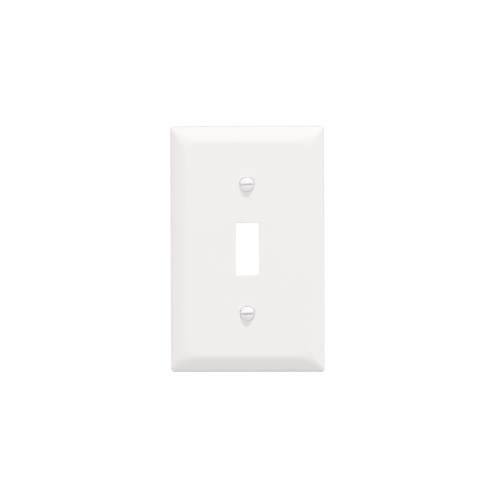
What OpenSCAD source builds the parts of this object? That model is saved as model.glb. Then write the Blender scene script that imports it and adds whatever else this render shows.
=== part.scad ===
// Single-gang toggle wall plate with its two oval-head screws.
// Origin: centre of the rim in the wall plane. +Z is up the wall, +X is right, the face looks along -Y.
// Each module works lying on its back, with its own +Z out of the wall, and on_wall() stands it up.

/* [Plate] */
// Width of the plate at the rim
plate_w = 72.4; // [66:0.1:90]
// Height of the plate at the rim
plate_h = 115.8; // [108:0.1:140]
// How far the face stands out from the wall
plate_d = 5.6; // [5:0.1:8]
// Thickness of the moulding behind the face
wall_t = 2; // [1.5:0.1:2.6]
// Radius of the four outline corners
corner_r = 1.4; // [0.5:0.1:3]

/* [Bevel] */
// Width of the curved bevel all round the face
bevel_w = 8.8; // [6:0.1:11]
// Height of the straight side of the rim
rim_h = 1.7; // [1:0.1:2.5]
// Thickness of the rim where it meets the wall
rim_t = 1.7; // [1.2:0.1:2.2]
// Corner radius of the flat part of the face
face_corner_r = 5; // [2:0.5:8]
// How the bevel curves: 1 is a straight slope, 2 is a parabola
bevel_power = 1.8; // [1.2:0.1:2.5]

/* [Toggle opening] */
// Width of the opening for the switch lever
opening_w = 10.9; // [9.5:0.1:12]
// Height of the opening
opening_h = 24.3; // [22:0.1:26]
// Size of the eased edge round the opening
opening_ease = 0.35; // [0.1:0.05:0.6]
// Thickness of the collar behind the opening
collar_t = 1.4; // [1:0.1:2]

/* [Screw holes] */
// Distance between the two screws
screw_spacing = 60.325; // [58:0.005:62]
// Clearance hole through each boss
hole_d = 4.1; // [3.8:0.05:4.5]
// Mouth of each countersink, a little over the head so that a fine groove shows round it
sink_d = 7.4; // [7:0.05:7.6]
// Diameter of the boss behind each hole
boss_d = 8.6; // [7.8:0.1:10]
// How far each boss stands out behind the face
boss_h = 1.45; // [0.5:0.05:1.6]

/* [Screws] */
// Diameter of the screw head
head_d = 6.6; // [6.4:0.05:6.8]
// Upright edge of the head, at its widest
head_edge = 0.2; // [0.05:0.05:0.3]
// Height of the dome above that edge
dome_h = 1.8; // [1.1:0.05:1.9]
// Included angle of the head's cone
head_angle = 82; // [80:1:90]
// Outside diameter of the thread
thread_d = 3.505; // [3.2:0.005:3.7]
// Diameter of the plain neck between the cone and the thread
neck_d = 2.92; // [2.7:0.02:3]
// Length of shank without full thread, up to two pitches
neck_l = 1.58; // [1.4:0.02:1.58]
// Length of the screw from its widest circle to its tip
screw_l = 12.7; // [9.5:0.1:15.9]
// Width of the driver slot
slot_w = 0.85; // [0.8:0.05:1.2]
// Depth of the driver slot below the top of the dome
slot_depth = 1.55; // [1.1:0.05:1.6]
// Turn of each slot away from level
slot_turn = 3; // [-45:1:45]

/* [Stiffening] */
// Thickness of each rib
rib_t = 1.1; // [0.8:0.1:1.5]
// How far each rib stands out behind the face
rib_h = 1.3; // [0.8:0.1:2]
// Distance of each lengthwise rib from the middle
rib_x = 18; // [12:0.5:20]
// How far in from the outline the ribs run out into the bevel
rib_end = 5.2; // [5.2:0.1:8]
// How far the collar stops short of the wall
collar_gap = 0.8; // [0.4:0.1:1.2]
// Diameter of each ejector pad
pad_d = 5; // [3:0.5:6]
// Height of each ejector pad
pad_h = 0.15; // [0.1:0.05:0.3]

/* [Hidden] */
$fn = 64;

bevel_steps = 14;
cavity_steps = 8;
corner_steps = 6;
cavity_corner_r = 1.2;
cavity_rim_h = 0.5;
head_clear = 0.05;
tip_chamfer = 0.5;
tip_r = 1.25;
cut = 0.01;

ceiling_z = plate_d - wall_t;
cone_tan = tan(head_angle / 2);
sink_depth = (sink_d - hole_d) / 2 / cone_tan;
// Height of the head's widest circle, which leaves head_clear all round the cone.
head_z = plate_d - ((sink_d - head_d) / 2 - head_clear) / cone_tan;
dome_top = head_z + head_edge + dome_h;
slot_floor = dome_top - slot_depth;
// Where the head's cone runs into the neck, and where the thread starts.
cone_foot = head_z - (head_d - neck_d) / 2 / cone_tan;
thread_top = head_z - (head_d - thread_d) / 2 / cone_tan - neck_l;

pad_x = 23;
pad_y = 44;

// Stands a shape that lies on its back up against the wall plane.
module on_wall() {
    rotate([90, 0, 0])
        children();
}

// Points of a rounded rectangle at one height, anticlockwise from the lower right corner.
function ring(half_w, half_h, r, z) = [
    for (corner = [0 : 3])
        for (step = [0 : corner_steps])
            let (
                angle = 90 * (corner - 1) + 90 * step / corner_steps,
                side_x = (corner == 0 || corner == 1) ? 1 : -1,
                side_y = (corner == 1 || corner == 2) ? 1 : -1
            )
            [
                side_x * (half_w - r) + r * cos(angle),
                side_y * (half_h - r) + r * sin(angle),
                z
            ]
];

// A closed solid through a list of rings, given as [half width, half height, radius, height].
module ring_loft(levels) {
    count = 4 * (corner_steps + 1);
    last = len(levels) - 1;
    points = [for (level = levels) each ring(level[0], level[1], level[2], level[3])];
    sides = [
        for (k = [0 : last - 1])
            for (i = [0 : count - 1])
                let (
                    j = (i + 1) % count,
                    a = k * count + i,
                    b = k * count + j,
                    c = a + count,
                    d = b + count
                )
                each [[a, c, b], [b, c, d]]
    ];
    bottom = [for (i = [0 : count - 1]) i];
    top = [for (i = [count - 1 : -1 : 0]) last * count + i];
    polyhedron(points = points, faces = concat([bottom], sides, [top]), convexity = 4);
}

// Rings of a bevel that rises from the rim to a flat top, curving level as it goes.
function bevel_rings(half_w, half_h, width, r_edge, r_top, z_edge, z_top, steps) = [
    for (step = [0 : steps])
        let (in = step / steps, out = 1 - in)
        [
            half_w - width * in,
            half_h - width * in,
            r_edge + (r_top - r_edge) * in,
            z_edge + (z_top - z_edge) * (1 - pow(out, bevel_power))
        ]
];

// Outer skin of the plate, filled solid.
module plate_skin() {
    ring_loft(concat(
        [[plate_w / 2, plate_h / 2, corner_r, 0]],
        bevel_rings(
            plate_w / 2, plate_h / 2, bevel_w,
            corner_r, face_corner_r, rim_h, plate_d, bevel_steps
        )
    ));
}

// The hollow behind the face, open to the wall.
module plate_cavity() {
    ring_loft(concat(
        [[plate_w / 2 - rim_t, plate_h / 2 - rim_t, cavity_corner_r, -cut]],
        bevel_rings(
            plate_w / 2 - rim_t, plate_h / 2 - rim_t, bevel_w - rim_t,
            cavity_corner_r, face_corner_r, cavity_rim_h, ceiling_z, cavity_steps
        )
    ));
}

// A box from a height up into the face moulding, centred on the axes.
module backing_bar(width, height, from_z) {
    translate([-width / 2, -height / 2, from_z])
        cube([width, height, plate_d - wall_t / 2 - from_z]);
}

// Ribs, collar, bosses and ejector pads, which all grow from behind the face.
module stiffening() {
    rib_z = ceiling_z - rib_h;
    for (side = [-1, 1]) {
        translate([side * rib_x, 0, 0])
            backing_bar(rib_t, plate_h - 2 * rib_end, rib_z);
        translate([0, side * screw_spacing / 2, 0])
            backing_bar(plate_w - 2 * rib_end, rib_t, rib_z);
        translate([0, side * screw_spacing / 2, ceiling_z - boss_h])
            cylinder(d = boss_d, h = boss_h + wall_t / 2);
    }
    backing_bar(plate_w - 2 * rib_end, rib_t, rib_z);
    backing_bar(opening_w + 2 * collar_t, opening_h + 2 * collar_t, collar_gap);
    for (x = [-pad_x, pad_x])
        for (y = [-pad_y, pad_y])
            translate([x, y, ceiling_z - pad_h])
                cylinder(d = pad_d, h = wall_t / 2);
}

// The opening for the switch lever, with its eased front edge.
module toggle_cut() {
    translate([-opening_w / 2, -opening_h / 2, -cut])
        cube([opening_w, opening_h, plate_d + 2 * cut]);
    translate([0, 0, plate_d - opening_ease])
        linear_extrude(
            height = opening_ease + cut,
            scale = [
                (opening_w + 2 * opening_ease) / opening_w,
                (opening_h + 2 * opening_ease) / opening_h
            ]
        )
            square([opening_w, opening_h], center = true);
}

// One countersunk screw hole.
module screw_hole() {
    translate([0, 0, -cut])
        cylinder(d = hole_d, h = plate_d);
    translate([0, 0, plate_d - sink_depth])
        cylinder(d1 = hole_d, d2 = sink_d + 2 * cut * cone_tan, h = sink_depth + cut);
}

// The moulded plate: a bevelled shell with its opening, screw holes and stiffening.
module cover_plate() {
    color("whitesmoke")
        on_wall()
            difference() {
                union() {
                    difference() {
                        plate_skin();
                        plate_cavity();
                    }
                    stiffening();
                }
                toggle_cut();
                for (side = [-1, 1])
                    translate([0, side * screw_spacing / 2, 0])
                        screw_hole();
            }
}

// Half section of a screw, turned about its axis: tip, thread, neck, cone and dome.
module screw_blank() {
    tip_z = head_z - screw_l;
    rotate_extrude() {
        polygon([
            [0, tip_z],
            [tip_r, tip_z],
            [thread_d / 2, tip_z + tip_chamfer],
            [thread_d / 2, thread_top - (thread_d - neck_d) / 2],
            [neck_d / 2, thread_top],
            [neck_d / 2, cone_foot],
            [head_d / 2, head_z],
            [head_d / 2, head_z + head_edge],
            [0, head_z + head_edge]
        ]);
        translate([0, head_z + head_edge])
            intersection() {
                scale([head_d / 2, dome_h])
                    circle(r = 1, $fn = 72);
                square([head_d / 2, dome_h]);
            }
    }
}

// One oval-head machine screw with a straight driver slot.
module plate_screw() {
    difference() {
        screw_blank();
        rotate([0, 0, slot_turn])
            translate([-head_d, -slot_w / 2, slot_floor])
                cube([2 * head_d, slot_w, slot_depth + cut]);
    }
}

// Upper screw, seated in its countersink.
module top_screw() {
    color("white")
        on_wall()
            translate([0, screw_spacing / 2, 0])
                plate_screw();
}

// Lower screw, seated in its countersink.
module bottom_screw() {
    color("white")
        on_wall()
            translate([0, -screw_spacing / 2, 0])
                plate_screw();
}

cover_plate();
top_screw();
bottom_screw();
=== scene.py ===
"""Wall plate for one toggle switch, with its two oval-head screws.

Shapes are worked out lying on the plate's back, in millimetres: x to the right, y up the wall and
z out of the wall. to_frame() stands them up in the row frame, in metres.
"""

import math

import bmesh
import bpy
from mathutils import Matrix, Vector


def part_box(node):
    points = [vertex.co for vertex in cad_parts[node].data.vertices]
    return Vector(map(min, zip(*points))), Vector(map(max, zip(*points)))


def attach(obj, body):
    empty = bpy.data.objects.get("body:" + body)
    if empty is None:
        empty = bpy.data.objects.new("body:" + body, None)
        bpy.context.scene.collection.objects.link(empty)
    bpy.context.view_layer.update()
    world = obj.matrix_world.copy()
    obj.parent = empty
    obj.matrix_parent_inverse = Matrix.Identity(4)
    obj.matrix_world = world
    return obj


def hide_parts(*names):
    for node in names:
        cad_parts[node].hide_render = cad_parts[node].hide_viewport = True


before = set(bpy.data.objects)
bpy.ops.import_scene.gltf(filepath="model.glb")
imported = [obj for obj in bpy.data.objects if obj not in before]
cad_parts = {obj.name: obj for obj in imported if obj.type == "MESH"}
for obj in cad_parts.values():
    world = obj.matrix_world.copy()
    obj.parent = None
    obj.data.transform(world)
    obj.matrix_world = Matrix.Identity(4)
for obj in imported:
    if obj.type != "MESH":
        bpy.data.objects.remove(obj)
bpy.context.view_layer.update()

# ---------------------------------------------------------------- sizes, in millimetres

MM = 0.001
plate_low, plate_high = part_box("cover_plate")
PLATE_W = (plate_high.x - plate_low.x) / MM
PLATE_H = (plate_high.z - plate_low.z) / MM
PLATE_D = (plate_high.y - plate_low.y) / MM

CORNER_R = 1.4
WALL_T = 2.0
BEVEL_W = 8.8
BEVEL_POWER = 1.8
RIM_H = 1.7
RIM_T = 1.7
FACE_CORNER_R = 5.0
EDGE_SOFTNESS = 1.3
BACK_EDGE_R = 0.18
CEILING = PLATE_D - WALL_T
CAVITY_CORNER_R = 1.2
CAVITY_RIM_H = 0.5

OPENING_W = 10.9
OPENING_H = 24.3
OPENING_EDGE_R = 0.35
OPENING_BACK_R = 0.2
OPENING_CORNER_R = 0.3
COLLAR_T = 1.4
COLLAR_GAP = 0.8
COLLAR_CORNER_R = 0.6

HOLE_D = 4.1
SINK_D = 7.4
SINK_MOUTH = 0.12
HOLE_EASE = 0.15
BOSS_D = 8.6
BOSS_H = 1.45

RIB_T = 1.1
RIB_H = 1.3
RIB_X = 18.0
RIB_END = 5.2
RIB_EDGE_R = 0.25
RIB_CORNER_R = RIB_EDGE_R + 0.02
ROOT_FILLET = 0.45
PAD_D = 5.0
PAD_H = 0.15
PAD_EASE = 0.05
PAD_X = 23.0
PAD_Y = 44.0

HEAD_ANGLE = math.radians(82)
CONE_TAN = math.tan(HEAD_ANGLE / 2)
THREAD_D = 3.505
NECK_D = 2.92
NECK_L = 1.58
THREAD_PITCH = 25.4 / 32
THREAD_DEPTH = 0.487
TIP_CHAMFER = 0.5
SCREW_L = 12.7
HEAD_EDGE = 0.2
SLOT_W = 0.85
SLOT_DEPTH = 1.55
SLOT_EDGE_R = 0.2
SLOT_TURN = math.radians(3)

CORNER_STEPS = 12
ROUND_STEPS = 96
OVERCUT = 1.0    # how far a cutter runs past the surface that it opens
SKIM = 0.01      # slack, where a cutter's mouth passes the face and where slot faces are picked out
PLATE_SHARP = 32
SCREW_SHARP = 35


def to_frame(p):
    """A point lying on the plate's back, in mm, as a point of the row frame, in metres."""
    x, y, z = p
    return Vector((x * MM, -z * MM, y * MM))


# ---------------------------------------------------------------- mesh building

def rect_ring(half_w, half_h, r, z, centre=(0.0, 0.0), steps=CORNER_STEPS):
    """Points of a rounded rectangle at height z, anticlockwise."""
    ring = []
    for corner, (sx, sy) in enumerate(((1, -1), (1, 1), (-1, 1), (-1, -1))):
        for step in range(steps + 1):
            angle = math.radians(90 * (corner - 1) + 90 * step / steps)
            ring.append((
                centre[0] + sx * (half_w - r) + r * math.cos(angle),
                centre[1] + sy * (half_h - r) + r * math.sin(angle),
                z,
            ))
    return ring


def round_ring(r, z, centre=(0.0, 0.0), steps=ROUND_STEPS):
    """Points of a circle at height z, anticlockwise."""
    turns = [2 * math.pi * i / steps for i in range(steps)]
    return [(centre[0] + r * math.cos(a), centre[1] + r * math.sin(a), z) for a in turns]


def loft(name, rings):
    """A closed mesh object through rings of equal length, with flat ends."""
    count = len(rings[0])
    points = [to_frame(p) for ring in rings for p in ring]
    faces = [tuple(reversed(range(count)))]
    for k in range(len(rings) - 1):
        for i in range(count):
            j = (i + 1) % count
            low, high = k * count, (k + 1) * count
            faces.append((low + i, low + j, high + j, high + i))
    faces.append(tuple((len(rings) - 1) * count + i for i in range(count)))
    return new_object(name, points, faces)


def new_object(name, points, faces):
    """A mesh object in the scene, with its faces turned outward."""
    mesh = bpy.data.meshes.new(name)
    mesh.from_pydata(points, [], faces)
    mesh.validate()
    obj = bpy.data.objects.new(name, mesh)
    bpy.context.scene.collection.objects.link(obj)
    bm = bmesh.new()
    bm.from_mesh(mesh)
    bmesh.ops.recalc_face_normals(bm, faces=bm.faces)
    bm.to_mesh(mesh)
    bm.free()
    return obj


def combine(base, operation, others):
    """Unites others with base, or cuts them from it, and removes them."""
    for other in others:
        step = base.modifiers.new(operation.lower(), "BOOLEAN")
        step.operation = operation
        step.object = other
        step.solver = "MANIFOLD"
    bpy.context.view_layer.update()
    graph = bpy.context.evaluated_depsgraph_get()
    base.data = bpy.data.meshes.new_from_object(base.evaluated_get(graph), depsgraph=graph)
    base.modifiers.clear()
    base.data.materials.clear()
    for other in others:
        bpy.data.objects.remove(other)
    return base


def finish_surface(obj, sharp_degrees):
    """Smooth shading with crisp edges, where large flat faces stay flat."""
    bm = bmesh.new()
    bm.from_mesh(obj.data)
    bmesh.ops.remove_doubles(bm, verts=bm.verts, dist=1e-7)
    bmesh.ops.dissolve_degenerate(bm, edges=bm.edges, dist=1e-7)
    bm.to_mesh(obj.data)
    bm.free()
    obj.data.shade_smooth()
    obj.data.set_sharp_from_angle(angle=math.radians(sharp_degrees))
    weighted = obj.modifiers.new("weighted_normals", "WEIGHTED_NORMAL")
    weighted.keep_sharp = True
    weighted.weight = 100


# ---------------------------------------------------------------- profiles

def quarter(steps):
    """Sine and cosine over a quarter turn, from level to upright."""
    return [(math.sin(math.pi / 2 * k / steps), math.cos(math.pi / 2 * k / steps))
            for k in range(steps + 1)]


def bevel_height(inward):
    """Height of the bevel at a distance in from the outline."""
    rest = 1 - inward / BEVEL_W
    return RIM_H + (PLATE_D - RIM_H) * (1 - rest ** BEVEL_POWER)


def skin_rings():
    """Outer skin from the back edge, up the rim, round its soft edge and over the bevel."""
    def ring(inward, z):
        share = inward / BEVEL_W
        r = CORNER_R + (FACE_CORNER_R - CORNER_R) * share
        return rect_ring(PLATE_W / 2 - inward, PLATE_H / 2 - inward, r, z)

    rings = [ring(BACK_EDGE_R * (1 - s), BACK_EDGE_R * (1 - c)) for s, c in quarter(4)]
    blend_end = EDGE_SOFTNESS
    reach = 0.01
    slope = (bevel_height(blend_end + reach) - bevel_height(blend_end - reach)) / (2 * reach)
    knee = bevel_height(blend_end) - slope * blend_end
    start = knee - EDGE_SOFTNESS
    blend_steps = 8
    for k in range(blend_steps + 1):
        t = k / blend_steps
        inward = blend_end * t * t
        z = start * (1 - t) ** 2 + 2 * knee * t * (1 - t) + bevel_height(blend_end) * t * t
        rings.append(ring(inward, z))
    steps = 30
    for k in range(1, steps + 1):
        inward = blend_end + (BEVEL_W - blend_end) * k / steps
        rings.append(ring(inward, bevel_height(inward)))
    return rings


def cavity_rings():
    """The hollow behind the face, open to the wall, with its back edge eased."""
    half_w, half_h = PLATE_W / 2 - RIM_T, PLATE_H / 2 - RIM_T
    width = BEVEL_W - RIM_T
    rings = [rect_ring(half_w + BACK_EDGE_R, half_h + BACK_EDGE_R, CAVITY_CORNER_R, -OVERCUT)]
    for s, c in quarter(4):
        out = BACK_EDGE_R * (1 - s)
        rings.append(rect_ring(half_w + out, half_h + out, CAVITY_CORNER_R, BACK_EDGE_R * (1 - c)))
    steps = 24
    for k in range(steps + 1):
        share = k / steps
        inward = width * share
        r = CAVITY_CORNER_R + (FACE_CORNER_R - CAVITY_CORNER_R) * share
        z = CAVITY_RIM_H + (CEILING - CAVITY_RIM_H) * (1 - (1 - share) ** BEVEL_POWER)
        rings.append(rect_ring(half_w - inward, half_h - inward, r, z))
    return rings


def standing_rings(section, from_z):
    """A form that grows from the ceiling towards the wall: eased end, straight side, root fillet.

    section(grow, z) gives its outline, grown outward by that much, at height z."""
    rings = [section(RIB_EDGE_R * (s - 1), from_z + RIB_EDGE_R * (1 - c)) for s, c in quarter(4)]
    rings += [section(ROOT_FILLET * (1 - c), CEILING - ROOT_FILLET * (1 - s))
              for s, c in quarter(5)]
    rings.append(section(ROOT_FILLET, CEILING + WALL_T / 2))
    return rings


def bar(name, width, height, from_z, corner_r, centre=(0.0, 0.0)):
    """A rib or collar: a rounded bar behind the face."""
    def section(grow, z):
        return rect_ring(width / 2 + grow, height / 2 + grow, corner_r + grow, z, centre, 4)

    return loft(name, standing_rings(section, from_z))


def boss(name, centre):
    """The round boss behind a screw hole."""
    def section(grow, z):
        return round_ring(BOSS_D / 2 + grow, z, centre)

    return loft(name, standing_rings(section, CEILING - BOSS_H))


def ejector_pad(name, centre):
    """One of the low round pads that the mould's ejector pins leave behind the face."""
    rings = [round_ring(PAD_D / 2 + grow, z, centre, ROUND_STEPS // 2) for grow, z in (
        (-PAD_EASE, CEILING - PAD_H),
        (0.0, CEILING - PAD_H + PAD_EASE),
        (0.0, CEILING + WALL_T / 2),
    )]
    return loft(name, rings)


def opening_cutter():
    """The opening for the lever, with its rounded front edge and eased back edge."""
    half_w, half_h = OPENING_W / 2, OPENING_H / 2

    def ring(out, z):
        return rect_ring(half_w + out, half_h + out, OPENING_CORNER_R + out, z)

    rings = [ring(OPENING_BACK_R, COLLAR_GAP - OVERCUT)]
    rings += [ring(OPENING_BACK_R * (1 - s), COLLAR_GAP + OPENING_BACK_R * (1 - c))
              for s, c in quarter(4)]
    rings += [ring(OPENING_EDGE_R * (1 - c), PLATE_D - OPENING_EDGE_R * (1 - s))
              for s, c in quarter(10)[:-1]]
    rings.append(ring(OPENING_EDGE_R * 1.05, PLATE_D + SKIM))
    return loft("opening_cutter", rings)


def hole_cutter(centre):
    """A countersunk clearance hole with a softened mouth."""
    sink_r, hole_r = SINK_D / 2, HOLE_D / 2
    sink_floor = PLATE_D - (sink_r - hole_r) / CONE_TAN
    boss_end = CEILING - BOSS_H
    profile = [
        (hole_r + HOLE_EASE, boss_end - OVERCUT),
        (hole_r + HOLE_EASE, boss_end),
        (hole_r, boss_end + HOLE_EASE),
        (hole_r, sink_floor),
        (sink_r - SINK_MOUTH, PLATE_D - SINK_MOUTH / CONE_TAN),
        (sink_r - SINK_MOUTH * 0.4, PLATE_D - SINK_MOUTH * 0.35),
        (sink_r + SINK_MOUTH * 0.5, PLATE_D - SINK_MOUTH * 0.04),
        (sink_r + SINK_MOUTH * 0.9, PLATE_D + SKIM),
    ]
    return loft("hole_cutter", [round_ring(r, z, centre) for r, z in profile])


# ---------------------------------------------------------------- the moulded plate

def make_plate(screw_y):
    """The plate: skin and hollow, then ribs, bosses, collar and pads, then its three holes."""
    plate = loft("wall_plate", skin_rings())
    combine(plate, "DIFFERENCE", [loft("cavity", cavity_rings())])
    rib_z = CEILING - RIB_H
    across = PLATE_W - 2 * RIB_END
    down = PLATE_H - 2 * RIB_END
    parts = [bar("rib_middle", across, RIB_T, rib_z, RIB_CORNER_R)]
    for side in (-1, 1):
        parts.append(bar("rib_down", RIB_T, down, rib_z, RIB_CORNER_R, (side * RIB_X, 0)))
    for y in screw_y:
        parts.append(bar("rib_across", across, RIB_T, rib_z, RIB_CORNER_R, (0, y)))
        parts.append(boss("boss", (0, y)))
    parts.append(bar("collar", OPENING_W + 2 * COLLAR_T, OPENING_H + 2 * COLLAR_T,
                     COLLAR_GAP, COLLAR_CORNER_R))
    for x in (-PAD_X, PAD_X):
        for y in (-PAD_Y, PAD_Y):
            parts.append(ejector_pad("pad", (x, y)))
    combine(plate, "UNION", parts)
    cutters = [opening_cutter()] + [hole_cutter((0, y)) for y in screw_y]
    combine(plate, "DIFFERENCE", cutters)
    finish_surface(plate, PLATE_SHARP)
    return plate


# ---------------------------------------------------------------- the screws

# the middle index is the slot's grey painted shade, not a real finish
HEAD_FINISH, SLOT_PAINTED_SHADE, THREAD_FINISH = range(3)


def thread_radius(phase):
    """Thread radius at a phase from 0 to 1 through one pitch: rounded crest, flanks, flat root."""
    major, minor, ease = THREAD_D / 2, THREAD_D / 2 - THREAD_DEPTH, 0.03
    points = ((0, major - ease), (0.03, major), (0.095, major), (0.125, major - ease),
              (0.4375, minor), (0.6875, minor), (1, major - ease))
    for (p0, r0), (p1, r1) in zip(points, points[1:]):
        if phase <= p1:
            return r0 + (r1 - r0) * (phase - p0) / (p1 - p0)
    return points[-1][1]


def make_thread(name, centre, low, high):
    """A right-hand thread as one grid that follows its own helix, between two heights."""
    columns = 72
    row_phases = (0, 0.03, 0.095, 0.125, 0.28, 0.4375, 0.56, 0.6875, 0.84)
    per_pitch = len(row_phases)
    turns = math.ceil((high - low) / THREAD_PITCH) + 3
    rows = turns * per_pitch
    fade = THREAD_PITCH

    def radius(angle_share, z):
        phase = ((z - low) / THREAD_PITCH + 1 - angle_share) % 1.0
        r = thread_radius(phase)
        chamfer = THREAD_D / 2 - TIP_CHAMFER + (z - low)
        runout = min(1.0, max(0.0, (high - z) / fade))
        neck = NECK_D / 2 - 0.05
        r = neck + (r - neck) * runout if z > high - fade else r
        return min(r, chamfer)

    bm = bmesh.new()
    grid = []
    for i in range(columns):
        share = i / columns
        angle = 2 * math.pi * share
        column = []
        for j in range(rows):
            pitch_count = j // per_pitch + row_phases[j % per_pitch] - 1 + share
            z = min(high, max(low, low + pitch_count * THREAD_PITCH))
            r = radius(share, z)
            column.append(bm.verts.new(to_frame((
                centre[0] + r * math.cos(angle), centre[1] + r * math.sin(angle), z))))
        grid.append(column)
    for i in range(columns):
        shift = per_pitch if i == columns - 1 else 0
        right = grid[(i + 1) % columns]
        for j in range(rows - 1 - shift):
            bm.faces.new((grid[i][j], right[j + shift], right[j + 1 + shift], grid[i][j + 1]))
    bmesh.ops.remove_doubles(bm, verts=bm.verts, dist=1e-8)
    bmesh.ops.dissolve_degenerate(bm, edges=bm.edges, dist=1e-8)
    loose = [v for v in bm.verts if not v.link_faces]
    bmesh.ops.delete(bm, geom=loose, context="VERTS")
    bmesh.ops.holes_fill(bm, edges=[e for e in bm.edges if e.is_boundary])
    bmesh.ops.recalc_face_normals(bm, faces=bm.faces)
    mesh = bpy.data.meshes.new(name)
    bm.to_mesh(mesh)
    bm.free()
    obj = bpy.data.objects.new(name, mesh)
    bpy.context.scene.collection.objects.link(obj)
    return obj


def dome_height(reach, head_r, dome_h):
    """Height of the dome above its foot, at a distance from the screw's axis."""
    return dome_h * math.sqrt(1 - (reach / head_r) ** 2)


def slot_cutter(centre, head_r, dome_foot, dome_h):
    """The driver slot: flat floor, upright walls and a rounded mouth that follows the dome."""
    floor = dome_foot + dome_h - SLOT_DEPTH
    half = SLOT_W / 2
    turn = Matrix.Rotation(SLOT_TURN, 3, "Z")
    rings = []
    stations = 40
    for k in range(stations + 1):
        along = head_r * 1.1 * (2 * k / stations - 1)
        mouth = dome_foot + dome_height(min(abs(along), head_r * 0.999), head_r, dome_h)
        side = [(half, floor)]
        side += [(half + SLOT_EDGE_R * (1 - c), mouth - SLOT_EDGE_R * (1 - s))
                 for s, c in quarter(5)[:-1]]
        side.append((half + SLOT_EDGE_R * 1.3, mouth + 0.03))
        side.append((half + SLOT_EDGE_R * 1.3, mouth + 1))
        outline = side + [(-v, z) for v, z in reversed(side)]
        ring = []
        for v, z in outline:
            p = turn @ Vector((along, v, 0))
            ring.append((centre[0] + p.x, centre[1] + p.y, z))
        rings.append(ring)
    return loft("slot_cutter", rings)


def make_screw(node, name):
    """An oval-head screw: domed and slotted painted head, bare rolled thread."""
    low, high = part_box(node)
    head_r = (high.x - low.x) / 2 / MM
    centre = ((high.x + low.x) / 2 / MM, (high.z + low.z) / 2 / MM)
    tip_z, dome_top = -high.y / MM, -low.y / MM
    head_z = tip_z + SCREW_L
    dome_foot = head_z + HEAD_EDGE
    dome_h = dome_top - dome_foot
    neck_r = NECK_D / 2
    cone_foot = head_z - (head_r - neck_r) / CONE_TAN
    thread_top = head_z - (head_r - THREAD_D / 2) / CONE_TAN - NECK_L

    profile = [(neck_r, thread_top - 0.4), (neck_r, cone_foot - 0.12)]
    profile += [(neck_r + 0.03, cone_foot - 0.03), (neck_r + 0.09, cone_foot + 0.09 / CONE_TAN)]
    profile += [(head_r - 0.06, head_z - 0.06 / CONE_TAN)]
    profile += [(head_r - 0.02, head_z - 0.01), (head_r, head_z + 0.02), (head_r, dome_foot - 0.03)]
    for k in range(1, 33):
        reach = max(0.03, head_r * math.cos(math.pi / 2 * k / 32))
        profile.append((reach, dome_foot + dome_height(reach, head_r, dome_h)))
    screw = loft(name, [round_ring(r, z, centre) for r, z in profile])
    thread = make_thread("thread", centre, tip_z, thread_top)
    combine(screw, "UNION", [thread])
    combine(screw, "DIFFERENCE", [slot_cutter(centre, head_r, dome_foot, dome_h)])
    finish_surface(screw, SCREW_SHARP)

    # picks out the slot's faces for the grey that paints the shade inside the slot
    slot_half = SLOT_W / 2 + SKIM
    slot_floor = dome_top - SLOT_DEPTH - SKIM
    level = Matrix.Rotation(-SLOT_TURN, 3, "Z")
    for polygon in screw.data.polygons:
        x, y, z = polygon.center / MM
        height = -y
        p = level @ Vector((x - centre[0], z - centre[1], 0))
        if height < cone_foot:
            polygon.material_index = THREAD_FINISH
        elif abs(p.y) < slot_half and height > slot_floor and abs(p.x) < head_r:
            polygon.material_index = SLOT_PAINTED_SHADE
    return screw


# ---------------------------------------------------------------- materials

def node_material(name):
    """A new node material, its tree and its shader."""
    mat = bpy.data.materials.new(name)
    mat.use_nodes = True
    tree = mat.node_tree
    return mat, tree, tree.nodes["Principled BSDF"]


def noise(tree, scale, detail=2.0, roughness=0.5):
    """A noise texture in the piece's own coordinates; scale is in waves a metre."""
    place = tree.nodes.new("ShaderNodeTexCoord")
    tex = tree.nodes.new("ShaderNodeTexNoise")
    tex.inputs["Scale"].default_value = scale
    tex.inputs["Detail"].default_value = detail
    tex.inputs["Roughness"].default_value = roughness
    tree.links.new(place.outputs["Object"], tex.inputs["Vector"])
    return tex.outputs["Fac"]


def spread(tree, value, low, high):
    """Maps a 0 to 1 value to a range."""
    to = tree.nodes.new("ShaderNodeMapRange")
    to.inputs["From Min"].default_value = 0.3
    to.inputs["From Max"].default_value = 0.7
    to.inputs["To Min"].default_value = low
    to.inputs["To Max"].default_value = high
    tree.links.new(value, to.inputs["Value"])
    return to.outputs["Result"]


def tone(tree, value, dark, light):
    """A colour ramp between two close colours."""
    ramp = tree.nodes.new("ShaderNodeValToRGB")
    ramp.color_ramp.elements[0].position = 0.3
    ramp.color_ramp.elements[0].color = (*dark, 1)
    ramp.color_ramp.elements[1].position = 0.7
    ramp.color_ramp.elements[1].color = (*light, 1)
    tree.links.new(value, ramp.inputs["Fac"])
    return ramp.outputs["Color"]


def bump(tree, shader, value, strength, distance):
    """Raises the shader's surface by a 0 to 1 value; distance is in metres."""
    node = tree.nodes.new("ShaderNodeBump")
    node.inputs["Strength"].default_value = strength
    node.inputs["Distance"].default_value = distance
    tree.links.new(value, node.inputs["Height"])
    tree.links.new(node.outputs["Normal"], shader.inputs["Normal"])


def moulded_plastic():
    """Warm white urea-type moulding: faint mottling, satin, a trace of orange peel."""
    mat, tree, shader = node_material("moulded_plastic")
    mottle = noise(tree, 60, 3)
    colour = tone(tree, mottle, (0.866, 0.84, 0.835), (0.872, 0.846, 0.841))
    tree.links.new(colour, shader.inputs["Base Color"])
    tree.links.new(spread(tree, noise(tree, 240, 3), 0.66, 0.74), shader.inputs["Roughness"])
    shader.inputs["IOR"].default_value = 1.5
    bump(tree, shader, noise(tree, 700, 2), 0.12, 0.00004)
    return mat


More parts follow.
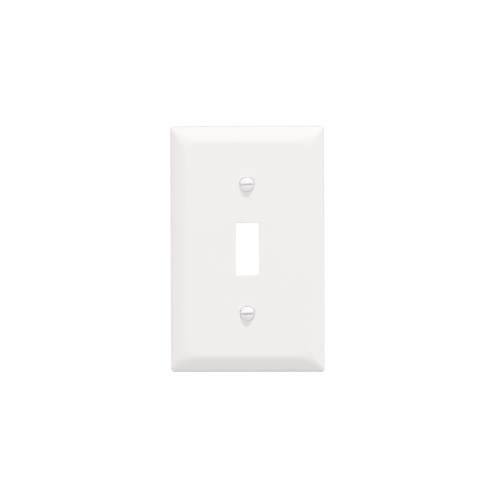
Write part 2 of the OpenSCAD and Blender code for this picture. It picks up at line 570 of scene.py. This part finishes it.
def head_paint():
    """White enamel on the screw heads, a little thicker and glossier than the plate."""
    mat, tree, shader = node_material("head_paint")
    colour = tone(tree, noise(tree, 500, 2), (0.868, 0.868, 0.868), (0.883, 0.883, 0.883))
    tree.links.new(colour, shader.inputs["Base Color"])
    tree.links.new(spread(tree, noise(tree, 900, 2), 0.2, 0.3), shader.inputs["Roughness"])
    bump(tree, shader, noise(tree, 1500, 2), 0.2, 0.00003)
    return mat


def slot_painted_shade():
    """The driver slot in a grey darker than the head's enamel: painted shade for the shade that
    falls inside its recess.
    """
    mat, tree, shader = node_material("slot_painted_shade")
    # grey, darker than the head's white: painted shade inside the slot
    colour = tone(tree, noise(tree, 1200, 3), (0.73, 0.73, 0.735), (0.79, 0.79, 0.79))
    tree.links.new(colour, shader.inputs["Base Color"])
    tree.links.new(spread(tree, noise(tree, 900, 2), 0.4, 0.55), shader.inputs["Roughness"])
    return mat


def zinc_plate():
    """Bright zinc on the rolled thread, slightly cloudy."""
    mat, tree, shader = node_material("zinc_plate")
    colour = tone(tree, noise(tree, 900, 3), (0.52, 0.54, 0.57), (0.68, 0.70, 0.72))
    tree.links.new(colour, shader.inputs["Base Color"])
    tree.links.new(spread(tree, noise(tree, 1400, 3), 0.26, 0.42), shader.inputs["Roughness"])
    shader.inputs["Metallic"].default_value = 1.0
    bump(tree, shader, noise(tree, 4000, 2), 0.15, 0.00001)
    return mat


# ---------------------------------------------------------------- building the object

screw_paints = {
    HEAD_FINISH: head_paint(),
    # the slot's material is painted shade, darker than the head's enamel
    SLOT_PAINTED_SHADE: slot_painted_shade(),
    THREAD_FINISH: zinc_plate(),
}
for node, name in (("top_screw", "oval_screw_top"), ("bottom_screw", "oval_screw_bottom")):
    screw = make_screw(node, name)
    for finish in sorted(screw_paints):
        screw.data.materials.append(screw_paints[finish])
    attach(screw, node)
    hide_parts(node)

screw_centres = [sum(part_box(n), Vector()).z / 2 / MM for n in ("bottom_screw", "top_screw")]
plate = make_plate(screw_centres)
plate.data.materials.append(moulded_plastic())
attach(plate, "plate")
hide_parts("cover_plate")

# ---------------------------------------------------------------- studio

def studio_world(horizon_level, lean, reach):
    """White behind everything; the lighting is a band all round, dim overhead and softer below.

    With z the upward part of a direction, the band's level is horizon_level at z = 0 and falls
    to nothing where z * (z + lean) comes to reach."""
    world = bpy.data.worlds.new("studio")
    world.use_nodes = True
    tree = world.node_tree
    place = tree.nodes.new("ShaderNodeTexCoord")
    parts = tree.nodes.new("ShaderNodeSeparateXYZ")
    tree.links.new(place.outputs["Generated"], parts.inputs["Vector"])
    shifted = tree.nodes.new("ShaderNodeMath")
    shifted.operation = "ADD"
    tree.links.new(parts.outputs["Z"], shifted.inputs[0])
    shifted.inputs[1].default_value = lean
    fall = tree.nodes.new("ShaderNodeMath")
    fall.operation = "MULTIPLY"
    tree.links.new(parts.outputs["Z"], fall.inputs[0])
    tree.links.new(shifted.outputs["Value"], fall.inputs[1])
    level = tree.nodes.new("ShaderNodeMapRange")
    level.inputs["From Max"].default_value = reach
    level.inputs["To Min"].default_value = horizon_level
    level.inputs["To Max"].default_value = 0.0
    tree.links.new(fall.outputs["Value"], level.inputs["Value"])
    lighting = tree.nodes["Background"]
    lighting.inputs["Color"].default_value = (1.0, 0.99, 0.99, 1)
    tree.links.new(level.outputs["Result"], lighting.inputs["Strength"])
    seen = tree.nodes.new("ShaderNodeBackground")
    seen.inputs["Color"].default_value = (1, 1, 1, 1)
    seen.inputs["Strength"].default_value = 1.05
    path = tree.nodes.new("ShaderNodeLightPath")
    choose = tree.nodes.new("ShaderNodeMixShader")
    tree.links.new(path.outputs["Is Camera Ray"], choose.inputs["Fac"])
    tree.links.new(lighting.outputs["Background"], choose.inputs[1])
    tree.links.new(seen.outputs["Background"], choose.inputs[2])
    tree.links.new(choose.outputs["Shader"], tree.nodes["World Output"].inputs["Surface"])
    bpy.context.scene.world = world


def softbox(name, position, target, size, power):
    """A rectangular lamp that the camera doesn't see, turned to its target; power is in watts."""
    data = bpy.data.lights.new(name, "AREA")
    data.shape = "RECTANGLE"
    data.size, data.size_y = size
    data.energy = power
    lamp = bpy.data.objects.new(name, data)
    lamp.location = position
    lamp.rotation_euler = (Vector(target) - Vector(position)).to_track_quat("-Z", "Y").to_euler()
    lamp.visible_camera = False
    bpy.context.scene.collection.objects.link(lamp)


def pale_floor(height, half):
    """A plain floor well below the plate, which hangs as on a wall, lit as white as the backdrop."""
    mesh = bpy.data.meshes.new("floor")
    mesh.from_pydata([(-half, -half, height), (half, -half, height),
                      (half, half, height), (-half, half, height)], [], [(0, 1, 2, 3)])
    floor = bpy.data.objects.new("floor", mesh)
    bpy.context.scene.collection.objects.link(floor)
    mat, tree, shader = node_material("floor_paint")
    colour = tone(tree, noise(tree, 3), (0.90, 0.90, 0.90), (0.93, 0.93, 0.93))
    tree.links.new(colour, shader.inputs["Base Color"])
    shader.inputs["Roughness"].default_value = 0.9
    shader.inputs["Emission Color"].default_value = (1, 1, 1, 1)
    shader.inputs["Emission Strength"].default_value = 0.9
    mesh.materials.append(mat)
    floor.visible_diffuse = False
    floor.visible_glossy = False
    floor.visible_shadow = False


centre = (plate_low + plate_high) / 2
studio_world(horizon_level=1.44, lean=0.31, reach=0.45)
softbox("key", position=(0.4, -1.32, 4.3), target=centre, size=(0.6, 0.3), power=136.0)
softbox("back_fill", position=(-0.5, 0.9, 0.7), target=centre, size=(0.8, 0.6), power=4.0)
pale_floor(height=plate_low.z - 0.4, half=6)

CAMERA_AZIMUTH = math.radians(1.6)
CAMERA_ELEVATION = math.radians(1.0)
CAMERA_DISTANCE = 0.855
CAMERA_ROLL = math.radians(-0.2)
CAMERA_LENS = 130.9
AIM = Vector((0.0012, 0.0, -0.0005))

camera_data = bpy.data.cameras.new("camera")
camera_data.lens = CAMERA_LENS
camera = bpy.data.objects.new("camera", camera_data)
back = Vector((
    math.sin(CAMERA_AZIMUTH) * math.cos(CAMERA_ELEVATION),
    -math.cos(CAMERA_AZIMUTH) * math.cos(CAMERA_ELEVATION),
    math.sin(CAMERA_ELEVATION),
))
camera.location = AIM + back * CAMERA_DISTANCE
look = (-back).to_track_quat("-Z", "Y").to_matrix() @ Matrix.Rotation(CAMERA_ROLL, 3, "Z")
camera.rotation_euler = look.to_euler()
bpy.context.scene.collection.objects.link(camera)
bpy.context.scene.camera = camera
bpy.context.scene.view_settings.view_transform = "Standard"
bpy.context.scene.view_settings.look = "None"
